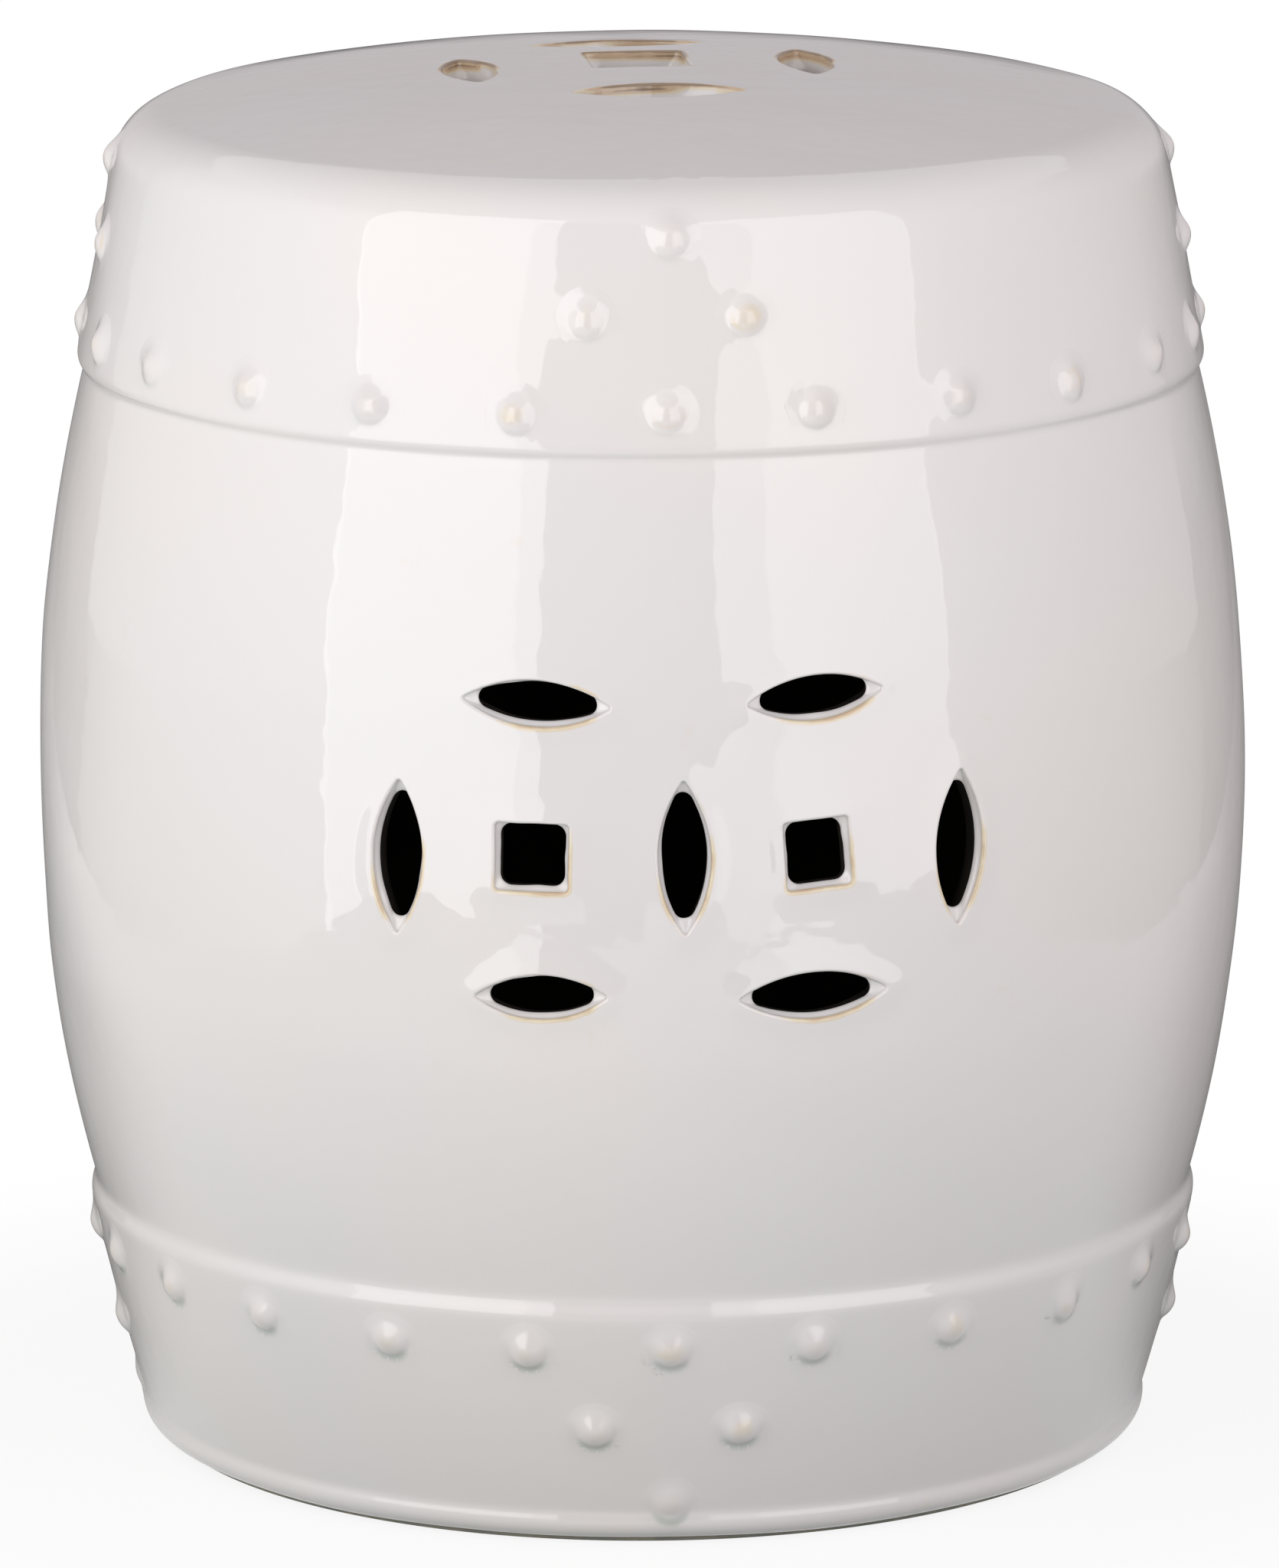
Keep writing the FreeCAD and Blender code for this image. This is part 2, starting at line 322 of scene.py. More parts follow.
def square_points(a, b, corner):
    """Loop round a rectangle of these half sizes, a corner's radius outside it."""
    points = []
    for n in range(4):
        facing = math.pi / 2 * n
        one = direction(facing)
        two = np.array([-one[1], one[0]])
        half = np.abs(one) @ [a, b]
        side = np.abs(two) @ [a, b]
        for f in np.linspace(-1, 1, SIDE_POINTS):
            points.append(one * (half + corner) + two * side * f)
        for f in np.linspace(0, 1, CORNER_POINTS)[1:-1]:
            points.append(one * half + two * side + corner * direction(facing + f * math.pi / 2))
    return np.array(points)


def leaf_points(a, b, corner):
    """Loop round two arcs that meet at tips, a corner's radius outside them."""
    radius = (a * a + b * b) / (2 * b)
    back = radius - b
    first = math.atan2(back, a)
    points = []
    for flip, sign in ((0, 1), (math.pi, -1)):
        for turn in np.linspace(first, math.pi - first, LEAF_POINTS) + flip:
            points.append(np.array([0, -back * sign]) + (radius + corner) * direction(turn))
        for f in np.linspace(0, 1, TIP_POINTS)[1:-1]:
            turn = math.pi - first + 2 * first * f + flip
            points.append(np.array([-a * sign, 0]) + corner * direction(turn))
    return np.array(points)


class Opening:
    """Hole through the clay, in flat coordinates across and up its face."""

    def __init__(self, kind, across, up, length, width, tilt, corner, run_size=RUN_SIZE):
        self.kind = kind
        self.centre = np.array([across, up], dtype=float)
        self.length = length
        self.width = width
        self.corner = corner
        angle = math.radians(tilt)
        self.turn = np.array([[math.cos(angle), -math.sin(angle)], [math.sin(angle), math.cos(angle)]])
        hand = random.Random(f"{across} {up}")
        self.wobbles = [(n, hand.uniform(*WOBBLE_SIZE) / n, hand.uniform(0, math.tau))
                        for n in WOBBLE_LOBES]
        self.runs = [(hand.uniform(-math.pi, math.pi), run_size * hand.uniform(*RUN_SHARE),
                      hand.uniform(*RUN_SPREAD)) for _ in range(hand.randint(*RUN_COUNT))]

    def facing(self, local):
        return np.arctan2(local[:, 1] * self.length, local[:, 0] * self.width)

    def run_at(self, outline, depth):
        """Whether a white run hides the clay there, deep in the wall."""
        facing = self.facing((outline - self.centre) @ self.turn)
        runs = sum(bell(wrapped(facing - place), spread) for place, _, spread in self.runs)
        return np.clip(RUN_COVER * runs, 0, 1) * smooth(depth / RUN_DEPTH)

    def distance(self, places):
        """Distance from the outline, less than nothing inside it."""
        p = np.abs((places - self.centre) @ self.turn)
        a = self.length / 2 - self.corner
        b = self.width / 2 - self.corner
        if self.kind == "square":
            q = p - np.array([a, b])
            outside = np.hypot(*np.maximum(q, 0).T)
            return outside + np.minimum(np.max(q, 1), 0) - self.corner
        radius = (a * a + b * b) / (2 * b)
        back = radius - b
        beyond_tip = (p[:, 0] - a) * back > p[:, 1] * a
        tip = np.hypot(p[:, 0] - a, p[:, 1])
        side = np.hypot(p[:, 0], p[:, 1] + back) - radius
        return np.where(beyond_tip, tip, side) - self.corner

    def outline(self, grow, fill=0.0):
        """Loop of points, grown outwards or drawn in by the glaze that fills it."""
        shorter, narrower, rounder = FILLED[self.kind]
        corner = self.corner + rounder * fill + grow
        a = (self.length - shorter * fill) / 2 + grow - corner
        b = (self.width - narrower * fill) / 2 + grow - corner
        shape = square_points if self.kind == "square" else leaf_points
        points = shape(a, b, corner)
        facing = self.facing(points)
        wobble = sum(size * np.sin(n * facing + phase) for n, size, phase in self.wobbles)
        runs = sum(size * bell(wrapped(facing - place), spread) for place, size, spread in self.runs)
        outward = points / np.hypot(*points.T)[:, None]
        points = points + outward * (wobble - fill * runs)[:, None]
        points = points @ self.turn.T + self.centre
        points[:, 1] += FILL_LIFT * fill
        return points


# The pair of coins in the barrel: kind, across and up from the middle, length, width, tilt
# in degrees and corner
COIN = 44.5
FRONT_CUTS = [
    ("leaf", -42.3, COIN + 2.0, 44.8, 13.7, -2.2, 0.7),
    ("leaf", 43.3, COIN + 2.8, 42.3, 13.3, 3.8, 0.7),
    ("leaf", -41.0, -COIN + 2.0, 39.8, 13.5, 1.5, 0.7),
    ("leaf", 42.3, -COIN + 1.6, 45.8, 14.1, 1.2, 0.7),
    ("leaf", -85.6, -1.8, 46.3, 15.9, 89.0, 0.7),
    ("leaf", 2.5, 0.5, 46.3, 15.9, 90.5, 0.7),
    ("leaf", 90.0, -1.6, 46.8, 16.1, 88.5, 0.7),
    ("square", -43.5, 0.3, 22.4, 20.5, -0.5, 1.3),
    ("square", 43.2, 0.3, 20.4, 20.7, 3.5, 1.3),
]
# The back is nearly the same: how far the five numbers of a cut stray. One of its leaves is
# higher, so that no light shows through it in a leaf of the front
BACK_SEED = 3
BACK_STRAY = [(-0.8, 0.8), (-0.6, 0.2), (-1, 1), (-0.4, 0.4), (-1.5, 1.5)]
BACK_LIFT = {-85.6: 3.4}


def back_cuts():
    hand = random.Random(BACK_SEED)
    cuts = []
    for kind, *sizes, corner in FRONT_CUTS:
        strayed = [size + hand.uniform(*stray) for size, stray in zip(sizes, BACK_STRAY)]
        strayed[1] += BACK_LIFT.get(sizes[0], 0.0)
        cuts.append((kind, *strayed, corner))
    return cuts


# Each face's turn from the front in degrees, and its openings
FACES = [(0, [Opening(*cut) for cut in FRONT_CUTS]), (180, [Opening(*cut) for cut in back_cuts()])]
# The coin in the seat: across, and towards the back
SEAT_OPENINGS = [Opening(*cut, SEAT_RUN_SIZE) for cut in (
    ("square", -0.6, 7.0, 30.5, 34.0, 3.0, 2.0),
    ("leaf", -5.0, 47.0, 53.0, 18.5, 4.0, 0.9),
    ("leaf", 3.2, -49.5, 51.5, 20.0, 2.0, 0.9),
    ("leaf", -53.0, -4.0, 45.0, 16.5, 96.0, 0.9),
    ("leaf", 52.0, 8.0, 51.0, 16.5, 93.0, 0.9),
)]


def nearest_opening(openings, places):
    return np.min([o.distance(places) for o in openings], 0)


# The glazed skin

# The belly is settled a little, so that its unevenness stays inside the CAD's box
SETTLE_FRONT = 0.8
SETTLE_LEFT = 0.55
SETTLE_ALL = 0.15
SETTLE_REACH = 3.0
# Slow unevenness of a wall raised by hand
WAVE_SEED = 11
WAVE_COUNT = 12
WAVE_HEIGHT = 0.05
WAVE_TURNS = (2, 14)
WAVE_LENGTH = (55, 190)
WAVE_SHARE = (0.5, 1.0)
# The glaze is raised round each stud and each opening
MOUND_HEIGHT = 0.5
MOUND_SPREAD = 7.0
MOUND_REACH = 22.0
RIM_RISE = 0.6
SEAT_RIM_RISE = 0.18
RIM_SPREAD = 5.0
# Step over which the skin's slope is felt
FEEL = 0.3


def hand_waves():
    """Each wave's turns round the stool, turn for each millimetre up, phase and size."""
    hand = random.Random(WAVE_SEED)
    return [(hand.randint(*WAVE_TURNS), math.tau / hand.uniform(*WAVE_LENGTH),
             hand.uniform(0, math.tau), hand.uniform(*WAVE_SHARE)) for _ in range(WAVE_COUNT)]


WAVES = hand_waves()


def rim_swell(openings, flat, rise):
    gap = np.maximum(nearest_opening(openings, flat), 0)
    return rise * bell(gap, RIM_SPREAD)


def swell(theta, s, radius, height):
    """How far the glaze stands off the plain profile."""
    settle = (SETTLE_FRONT * np.cos(theta) ** 2 + SETTLE_LEFT * np.maximum(-np.sin(theta), 0)
              + SETTLE_ALL)
    amount = -settle * smooth((radius - BELLY_RADIUS + SETTLE_REACH) / SETTLE_REACH)
    waves = sum(size * np.sin(turns * theta + up * s + phase) for turns, up, phase, size in WAVES)
    amount += WAVE_HEIGHT * waves * smooth(radius / SHOULDER_RADIUS)
    for angle, place, proud in ALL_STUDS:
        near = np.abs(s - place) < MOUND_REACH
        if near.any():
            gap = (radius[near] * wrapped(theta[near] - angle)) ** 2 + (s[near] - place) ** 2
            amount[near] += MOUND_HEIGHT * proud * np.exp(-gap / MOUND_SPREAD ** 2)
    on_barrel = (s > LOWER_SEAM) & (s < UPPER_SEAM)
    if on_barrel.any():
        for turn, openings in FACES:
            across = wrapped(theta - math.radians(turn)) * BELLY_RADIUS
            flat = np.stack([across, height - COIN_HEIGHT], 1)
            amount += np.where(on_barrel, rim_swell(openings, flat, RIM_RISE), 0)
    on_seat = s > SEAT_SEAM
    if on_seat.any():
        flat = np.stack(turned(theta, radius), 1)
        amount += np.where(on_seat, rim_swell(SEAT_OPENINGS, flat, SEAT_RIM_RISE), 0)
    return amount


def skin(theta, s):
    """Points of the glazed outside."""
    radius, height, out, up = profile(s)
    amount = swell(theta, s, radius, height)
    radius = radius + amount * out
    height = height + amount * up
    return np.stack([*turned(theta, radius), height], 1)


def unit(vectors):
    return vectors / np.linalg.norm(vectors, axis=1)[:, None]


def skin_normals(theta, s):
    radius = np.maximum(profile(s)[0], 1.0)
    step = FEEL / radius
    across = skin(theta + step, s) - skin(theta - step, s)
    along = skin(theta, np.minimum(s + FEEL, ALONG[-1])) - skin(theta, np.maximum(s - FEEL, 0))
    return unit(np.cross(across, along))


# Materials

GLAZE_WHITE = (0.806, 0.772, 0.752, 1)
GLAZE_COOL = (0.792, 0.768, 0.764, 1)
GLAZE_PINK = (0.80, 0.70, 0.65, 1)
GLAZE_CREAM = (0.76, 0.65, 0.42, 1)
GLAZE_TAN = (0.60, 0.42, 0.28, 1)
GLAZE_BROWN = (0.22, 0.15, 0.09, 1)
# Greenish grey painted shade, for the line under an upper edge of a cut and the crease below a stud
PAINTED_SHADE_GREEN = (0.50, 0.54, 0.50, 1)
SPECK = (0.16, 0.11, 0.07, 1)
BARE_TAN = (0.37, 0.35, 0.28, 1)
BARE_GREY = (0.27, 0.28, 0.24, 1)
# Near-black painted shade for the hollow and the deep part of the cuts
INSIDE_SHADE_BROWN = (0.020, 0.016, 0.012, 1)
INSIDE_SHADE_BLACK = (0.010, 0.008, 0.007, 1)
# Colours that come in from one value to another, and their shares there: first by how thin
# the glaze is, where a value below nothing paints shade, then by the same with a ragged edge
THIN_AND_SHADE_TONES = [(0.05, 0.5, 0.0, 0.45, GLAZE_PINK), (-0.8, 0.0, 0.75, 0.0, PAINTED_SHADE_GREEN)]
RAGGED_TONES = [(1.05, 1.55, 0.0, 0.75, GLAZE_CREAM), (1.55, 1.95, 0.0, 0.85, GLAZE_TAN),
                (2.1, 2.4, 0.0, 0.8, GLAZE_BROWN)]
GLAZE_ROUGHNESS = (0.015, 0.035)
GLAZE_IOR = 1.6
# Iron specks, one in a few of the cells
SPECK_CELLS = 26.0
SPECK_EDGE = (0.010, 0.018)
SPECK_RARE = 0.86
SPECK_SHARE = 0.8


class Nodes:
    """Short way to add and link the shader nodes of a material or of the world."""

    def __init__(self, owner):
        owner.use_nodes = True
        self.owner = owner
        self.tree = owner.node_tree

    def fill(self, node, inputs):
        """Link each input to a node's output, or give it a plain value."""
        for key, value in inputs.items():
            if isinstance(value, bpy.types.NodeSocket):
                self.tree.links.new(value, node.inputs[key])
            else:
                node.inputs[key].default_value = value
        return node

    def add(self, kind, inputs=None, **settings):
        node = self.tree.nodes.new(kind)
        for key, value in settings.items():
            setattr(node, key, value)
        return self.fill(node, inputs or {})

    def place(self):
        return self.add("ShaderNodeTexCoord").outputs["Object"]

    def mark(self, name):
        """A value that the mesh carries at each vertex."""
        return self.add("ShaderNodeAttribute", attribute_name=name).outputs["Fac"]

    def noise(self, scale, detail=2.0, roughness=0.5):
        inputs = {"Vector": self.place(), "Scale": scale, "Detail": detail, "Roughness": roughness}
        return self.add("ShaderNodeTexNoise", inputs).outputs["Fac"]

    def ramp(self, value, low, high, at_low=0.0, at_high=1.0):
        inputs = {"Value": value, "From Min": low, "From Max": high, "To Min": at_low, "To Max": at_high}
        node = self.add("ShaderNodeMapRange", inputs, interpolation_type="SMOOTHSTEP")
        return node.outputs["Result"]

    def math(self, operation, a, b):
        return self.add("ShaderNodeMath", {0: a, 1: b}, operation=operation).outputs[0]

    def mix(self, share, a, b):
        """Colour a, with this share of colour b."""
        return self.add("ShaderNodeMix", {0: share, 6: a, 7: b}, data_type="RGBA").outputs[2]

    def mix_shaders(self, share, a, b):
        return self.add("ShaderNodeMixShader", {0: share, 1: a, 2: b}).outputs[0]

    def shader(self, kind, inputs=None):
        return self.add(kind, inputs).outputs[0]

    def bump(self, height, strength, distance):
        inputs = {"Height": height, "Strength": strength, "Distance": distance}
        return self.add("ShaderNodeBump", inputs).outputs["Normal"]

    def seen(self):
        """One for what the camera sees, straight, reflected or refracted."""
        rays = self.add("ShaderNodeLightPath").outputs
        seen = rays["Is Camera Ray"]
        for kind in ("Is Glossy Ray", "Is Transmission Ray"):
            seen = self.math("MAXIMUM", seen, rays[kind])
        return seen

    def principled(self, inputs):
        """Set the material's own shader, and return the shader's output."""
        return self.fill(self.tree.nodes["Principled BSDF"], inputs).outputs[0]

    def surface(self, shader):
        self.fill(self.tree.nodes["Material Output"], {"Surface": shader})
        return self.owner


def material_nodes(name):
    return Nodes(bpy.data.materials.new(name))


def specks(n):
    cells = n.add("ShaderNodeTexVoronoi", {"Vector": n.place(), "Scale": SPECK_CELLS})
    chance = n.add("ShaderNodeSeparateColor", {"Color": cells.outputs["Color"]}).outputs[0]
    near = n.ramp(cells.outputs["Distance"], *SPECK_EDGE, 1.0, 0.0)
    return n.math("MULTIPLY", n.math("MULTIPLY", near, n.math("GREATER_THAN", chance, SPECK_RARE)),
                  SPECK_SHARE)


def glaze_material():
    """Glossy white glaze, tan and brown where it is thin, with greenish painted shade under the upper
    edges of cuts and below studs.
    """
    n = material_nodes("white_glaze")
    tone = n.mix(n.ramp(n.noise(scale=7.0), 0.35, 0.65), GLAZE_WHITE, GLAZE_COOL)
    thin = n.mark("thin_glaze_and_shade")
    fine = n.math("MULTIPLY", n.noise(scale=170.0, detail=3.0), 0.7)
    coarse = n.math("MULTIPLY", n.noise(scale=45.0, detail=1.0), 0.9)
    ragged = n.math("ADD", thin, n.math("ADD", fine, coarse))
    for value, tones in ((thin, THIN_AND_SHADE_TONES), (ragged, RAGGED_TONES)):
        for low, high, at_low, at_high, colour in tones:
            tone = n.mix(n.ramp(value, low, high, at_low, at_high), tone, colour)
    ripple = n.noise(scale=80.0, detail=1.5)
    n.principled({"Base Color": n.mix(specks(n), tone, SPECK),
                  "Roughness": n.ramp(n.noise(scale=40.0), 0.3, 0.7, *GLAZE_ROUGHNESS),
                  "Normal": n.bump(ripple, strength=0.35, distance=0.00035),
                  "IOR": GLAZE_IOR})
    return n.owner


def clay_and_shade_material(name, patches, blend, colours, grain, roughness, bump, shine):
    """Rough matte clay, also used for the painted shade inside: the noise of its patches and how they
    blend, then that of its grain.
    """
    n = material_nodes(name)
    grain = n.noise(*grain)
    n.principled({"Base Color": n.mix(n.ramp(n.noise(*patches), *blend), *colours),
                  "Roughness": n.ramp(grain, 0.3, 0.7, *roughness),
                  "Normal": n.bump(grain, *bump), "Specular IOR Level": shine})
    return n.owner


glaze = glaze_material()
# The foot's base
bare_clay = clay_and_shade_material("bare_clay", (60.0, 3.0), (0.35, 0.65), (BARE_TAN, BARE_GREY),
                          (900.0, 4.0, 0.7), (0.7, 0.95), (0.5, 0.0003), 0.5)
# The hollow and the deep part of the cuts, painted near-black for the shade inside
inside_painted_shade = clay_and_shade_material("inside_painted_shade", (30.0, 4.0), (0.3, 0.7), (INSIDE_SHADE_BROWN, INSIDE_SHADE_BLACK),
                            (30.0, 4.0), (0.85, 0.98), (0.4, 0.001), 0.1)


# Meshes

# Places of the two materials in a piece's list
GLAZED = 0
INSIDE = 1
COLUMNS = 360
ROUND = np.arange(COLUMNS) * math.tau / COLUMNS
# Rows are closer together at the ends that need it
FINE_STEP = 0.45
FINE_REACH = 6.0
LEAST_STEP = 0.2


def link(name, data):
    thing = bpy.data.objects.new(name, data)
    bpy.context.collection.objects.link(thing)
    return thing


class Build:
    """Vertices, faces and marks of thin glaze and painted shade of one piece, gathered before its mesh
    is made.
    """

    def __init__(self):
        self.points = []
        self.normals = []
        self.thin = []
        self.faces = []
        self.slots = []
        self.count = 0

    def add(self, points, normals=None, thin=0.0):
        """Vertices and how thin their glaze is, less than nothing where shade is painted. Without
        normals, they get the mesh's own.
        """
        points = np.asarray(points, dtype=float)
        self.points.append(points)
        self.normals.append(np.zeros_like(points) if normals is None else normals)
        self.thin.append(np.broadcast_to(thin, len(points)))
        first = self.count
        self.count += len(points)
        return np.arange(first, self.count)

    def face(self, corners, slot=GLAZED):
        self.faces.append([int(c) for c in corners])
        self.slots.append(slot)

    def strip(self, lower, upper, slot=GLAZED):
        """Quads between two closed loops of the same length."""
        for corners in zip(lower, np.roll(lower, -1), np.roll(upper, -1), upper):
            self.face(corners, slot)

    def strips(self, loops, dark_from=math.inf):
        """Quads between each loop and the next, dark from one of them on."""
        for k in range(len(loops) - 1):
            self.strip(loops[k], loops[k + 1], INSIDE if k >= dark_from else GLAZED)

    def make(self, name, node, materials=(glaze, inside_painted_shade)):
        mesh = bpy.data.meshes.new(name)
        mesh.from_pydata((np.concatenate(self.points) * MM).tolist(), [], self.faces)
        for material in materials:
            mesh.materials.append(material)
        mesh.polygons.foreach_set("material_index", self.slots)
        mesh.polygons.foreach_set("use_smooth", [True] * len(self.faces))
        thin = mesh.attributes.new("thin_glaze_and_shade", "FLOAT", "POINT")
        thin.data.foreach_set("value", np.concatenate(self.thin).astype(np.float32))
        mesh.update()
        given = np.concatenate(self.normals)
        normals = np.zeros(len(given) * 3)
        mesh.vertices.foreach_get("normal", normals)
        is_given = np.linalg.norm(given, axis=1)[:, None] > 0.5
        normals = np.where(is_given, given, normals.reshape(-1, 3))
        mesh.normals_split_custom_set_from_vertices(normals.tolist())
        piece = link(name, mesh)
        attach(piece, "root")
        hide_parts(node)


def skin_rows(build, places):
    """Loops of the outside at these distances along the profile."""
    rows = []
    for s in places:
        along = np.full(COLUMNS, float(s))
        rows.append(build.add(skin(ROUND, along), skin_normals(ROUND, along)))
    return rows


def turned_rows(build, profile_points):
    return [build.add(np.stack([*turned(ROUND, radius), np.full(COLUMNS, height)], 1))
            for radius, height in profile_points]


def graded(first, last, coarse, fine_first=False, fine_last=False):
    """Distances from first to last, closer together at a fine end."""
    places = [first]
    while places[-1] < last - LEAST_STEP:
        to_last = last - places[-1]
        step = coarse
        if fine_first and places[-1] - first < FINE_REACH:
            step = FINE_STEP
        if fine_last and to_last < FINE_REACH + coarse:
            step = min(step, max(FINE_STEP, to_last - FINE_REACH))
        places.append(min(places[-1] + step, last))
    return places if places[-1] == last else places + [last]


# Loops of an opening, from the surface round the lip and through the wall

# How far each loop of the skirt is from the edge, outermost first
SKIRT = (6.5, 5.2, 4.2, 3.4, 2.7, 2.1, 1.6)
SKIRT_CLEAR = SKIRT[0] + 1.6
LIP_ROUND = 1.0
LIP_LOOPS = 7
# The glaze breaks over the lip: how far out and how far round it
BREAK_OUT = 0.4
BREAK_REACH = 1.0
BREAK_ROUND = 0.8
# Below the waist the cut is wider again
WAIST_LOOPS = 7
BELOW_LOOPS = 4
WAIST_OPEN = 0.35
# In the seat the broken glaze goes on down the cut and then fades
BROKEN_OVER = (1.8, 2.0)
BROKEN_LOSS = 0.9
# Last loops, spread about the middle, and how far short of the back of the wall they are
BACK_LOOPS = ((1.03, 0.4), (1.1, 0.0))
# The glaze breaks most on one side, and less at the tips
SIDE_LEAST = 0.2
SIDE_OVER = (-0.35, 0.9)
TIP_OVER = (0.72, 0.2)
# Painted shade: a dark line under an upper edge
SHADE_LINE_DEPTH = 0.55
SHADE_LINE_SPREAD = 0.35
SHADE_LINE_OVER = (0.4, 0.3)

# The depths of the wall, of its narrowest place and of where the glaze ends and the painted
# shade of the hollow starts; how thin the glaze is down the cut and over the lip; its thin side;
# how much glaze the tips of leaves keep; and how dark the painted shade line under the upper edge is
Cut = namedtuple("Cut", "wall waist glazed wall_thin lip_thin thin_side tips line")
BARREL_CUT = Cut(WALL, WALL * 0.38, WALL * 0.38, 0.0, 1.0, (0.45, -0.8), 0.75, 0.9)
SEAT_CUT = Cut(SEAT_THICKNESS, SEAT_THICKNESS * 0.5, SEAT_THICKNESS - 1.0, 1.5, 1.8, (0, 1), 0.0, 0.0)


def opening_loops(opening, cut):
    """(outline, depth, how thin the glaze is) from the skirt inwards."""
    loops = [(opening.outline(grow), 0.0, cut.lip_thin * bell(grow - BREAK_OUT, BREAK_REACH))
             for grow in SKIRT]
    for f in np.linspace(0, 1, LIP_LOOPS):
        down, out = LIP_ROUND * (1 - direction(f * math.pi / 2))
        loops.append((opening.outline(out), down, cut.lip_thin * bell(f - 0.5, BREAK_ROUND)))
    deepest = cut.wall - LIP_ROUND
    for depth in np.concatenate([np.linspace(LIP_ROUND, cut.waist, WAIST_LOOPS)[1:],
                                 np.linspace(cut.waist, deepest, BELOW_LOOPS)[1:]]):
        fill = smooth(depth, LIP_ROUND, cut.waist - LIP_ROUND)
        fill = fill * (1 - WAIST_OPEN * smooth(depth, cut.waist, deepest - cut.waist))
        fade = BROKEN_LOSS * smooth(depth, *BROKEN_OVER)
        loops.append((opening.outline(0, fill), depth, cut.wall_thin * (1 - fade)))
    last = loops[-1][0]
    middle = last.mean(0)
    for grow, short in BACK_LOOPS:
        loops.append((middle + (last - middle) * grow, cut.wall - short, 0.0))
    return loops


def thinning(outline, thin_side, tips):
    """How much the glaze breaks along an edge: most on one side, less at the tips."""
    away = outline - outline.mean(0)
    reach = np.hypot(*away.T)
    facing = away / reach[:, None]
    on_side = smooth(facing @ np.array(thin_side), *SIDE_OVER)
    at_tips = smooth(reach / reach.max(), *TIP_OVER)
    return (SIDE_LEAST + (1 - SIDE_LEAST) * on_side) * (1 - tips * at_tips)


def upper_edge_shade(outline, depth):
    """Where the painted shade line under an upper edge is."""
    along = np.roll(outline, -1, 0) - np.roll(outline, 1, 0)
    upward = -along[:, 0] / np.hypot(*along.T)
    return smooth(upward, *SHADE_LINE_OVER) * bell(depth - SHADE_LINE_DEPTH, SHADE_LINE_SPREAD)


def pierce(build, opening, cut, place):
    """Add an opening's loops; returns the first and the last, each with its flat outline."""
    loops = opening_loops(opening, cut)
    tips = cut.tips if opening.kind == "leaf" else 0.0
    rings = []
    for outline, depth, thin in loops:
        points, normals = place(outline, depth)
        amount = thin * thinning(outline, cut.thin_side, tips)
        amount *= 1 - opening.run_at(outline, depth)
        # Painted shade under an upper edge, carried as glaze thinner than nothing
        amount -= cut.line * upper_edge_shade(outline, depth)
        rings.append(build.add(points, normals if depth == 0.0 else None, amount))
    build.strips(rings, sum(depth < cut.glazed for _, depth, _ in loops))
    return (rings[0], loops[0][0]), (rings[-1], loops[-1][0])


def within(places, outline):
    """Which places lie inside a convex loop that runs counterclockwise."""
    inside = np.ones(len(places), dtype=bool)
    for start, (x, y) in zip(outline, np.roll(outline, -1, 0) - outline):
        inside &= x * (places[:, 1] - start[1]) - y * (places[:, 0] - start[0]) > -1e-6
    return inside


def fill_between(build, border, border_flat, rings, inner, inner_flat, slot):
    """Triangles between a border, the loops round the openings and the points in between."""
    loops = [(border, border_flat), *rings]
    ids, flat, edges = [], [], []
    for loop, outline in loops:
        first, n = len(ids), len(loop)
        edges += [(first + k, first + (k + 1) % n) for k in range(n)]
        ids += list(loop)
        flat += [tuple(p) for p in outline]
    ids = np.array(ids + list(inner))
    flat += [tuple(p) for p in inner_flat]
    result = delaunay_2d_cdt([Vector(p) for p in flat], edges, [], 0, 1e-6)
    origin = np.array([places[0] for places in result[3]])
    triangles = origin[np.array(result[2])]
    corners = np.array(flat)[triangles]
    hidden = np.any([within(corners.mean(1), outline) for _, outline in rings], 0)
    area = np.cross(corners[:, 1] - corners[:, 0], corners[:, 2] - corners[:, 0])
    for triangle, size in zip(triangles[~hidden], area[~hidden]):
        if abs(size) < 1e-9:
            continue
        if (size < 0) != (slot == INSIDE):
            triangle = triangle[::-1]
        build.face(ids[triangle], slot)


# Foot: a bare base with the glazed bead over it

FOOT_INNER = FOOT_RADIUS - FOOT_WIDTH
FOOT_BEVEL = 0.6
# The outer corner of the base: inwards from the outside, and up
FOOT_CORNER = ((0.7, 0), (0.2, 0.2), (0, 0.7))
BASE_TOP = CLAY_LINE_HEIGHT + 0.4


def make_foot_base():
    build = Build()
    outline = [(FOOT_INNER, FOOT_BEVEL), (FOOT_INNER + FOOT_BEVEL, 0)]
    outline += [(FOOT_RADIUS - back, up) for back, up in FOOT_CORNER]
    outline += [(FOOT_RADIUS, CLAY_LINE_HEIGHT), (FOOT_RADIUS, BASE_TOP), (FOOT_INNER, BASE_TOP)]
    rows = turned_rows(build, outline)
    build.strips(rows + rows[:1])
    build.make("foot_base_bare", "foot_ring", [bare_clay])


def make_ring(name, node, places, inner):
    """Closed ring: its glazed outside, then the loops of its inside."""
    build = Build()
    rows = skin_rows(build, places) + turned_rows(build, inner)
    build.strips(rows + rows[:1], len(places) - 1)
    build.make(name, node)


# Barrel

BARREL_STEP = 3.3
INNER_ROWS = 40
INNER_CLEAR = 4.0
# The patch of each face that triangles fill: degrees to either side, and heights
PATCH_ANGLE = 38
PATCH_LOW = 148.0
PATCH_HIGH = 292.0


